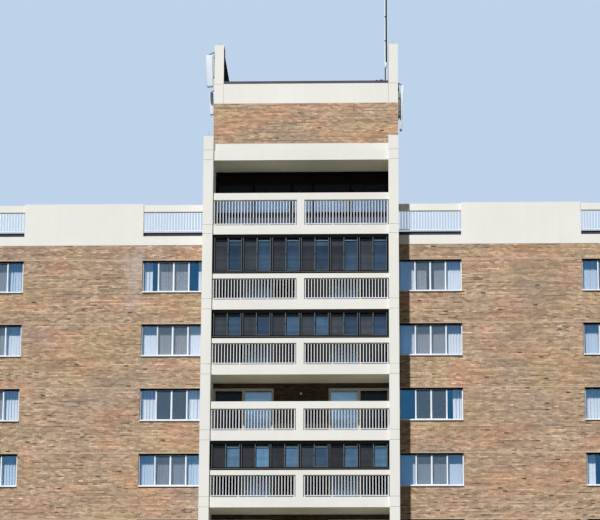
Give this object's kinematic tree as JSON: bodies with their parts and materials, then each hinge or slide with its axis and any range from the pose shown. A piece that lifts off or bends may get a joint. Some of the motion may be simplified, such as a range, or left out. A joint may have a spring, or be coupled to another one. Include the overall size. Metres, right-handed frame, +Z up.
{
  "type": "apartment block scale model, 1:2",
  "caption": "Mid-rise apartment block at half size: brick wings with ribbon windows, a stack of railed and glazed balconies between fin walls, a roof lounge and a raised plant house.",
  "frame": {"origin": "centre of the base, at ground level", "axes": "+X to the right along the front, +Y to the back, +Z up; the front looks to -Y"},
  "size_m": [16.21, 9.85, 22.5],
  "materials": {
    "painted_concrete": "painted, matt",
    "facing_brick": "long thin bricks in mixed tan, brown and grey, matt",
    "roof_concrete": "matt",
    "window_glass": "clear, slightly tinted",
    "white_frame": "satin white",
    "bronze_frame": "dark bronze, satin",
    "grey_frame": "grey-beige, satin",
    "galvanised_metal": "satin"
  },
  "bodies": {
    "root": {"ground_slab": "roof_concrete", "floor_slabs": "roof_concrete", "roof_slab": "roof_concrete", "roof_edge_bands": "painted_concrete", "front_brick_piers": "facing_brick", "rear_brick_piers": "facing_brick", "front_brick_spandrels": "facing_brick", "rear_brick_spandrels": "facing_brick", "gable_walls": "facing_brick", "window_frames": "white_frame", "window_glass": "window_glass", "window_sills": "white_frame", "parapet_panels": "painted_concrete", "gable_parapets": "painted_concrete", "parapet_beams": "painted_concrete", "parapet_railings": "white_frame", "front_fin_walls": "painted_concrete", "rear_fin_walls": "painted_concrete", "balcony_slabs": "painted_concrete", "balcony_edge_bands": "painted_concrete", "balcony_guard_beams": "painted_concrete", "balcony_centre_posts": "painted_concrete", "front_balcony_railings": "white_frame", "rear_balcony_railings": "white_frame", "balcony_brick_piers": "facing_brick", "balcony_lintels": "facing_brick", "balcony_lights": "white_frame", "sliding_door_frames": "grey_frame", "sliding_door_glass": "window_glass", "enclosure_frames": "bronze_frame", "enclosure_glass": "window_glass", "lounge_side_walls": "facing_brick", "lounge_frames": "bronze_frame", "lounge_glass": "window_glass", "lounge_roof": "roof_concrete", "balcony_roofs": "painted_concrete", "roof_kerbs": "painted_concrete", "plant_house_walls": "facing_brick", "plant_house_fins": "painted_concrete", "plant_house_band": "painted_concrete", "plant_house_roof": "roof_concrete", "roof_edge_trim": "bronze_frame", "aerial_panels": "white_frame", "antenna_mast": "galvanised_metal", "lightning_rods": "galvanised_metal"}
  },
  "joints": []
}
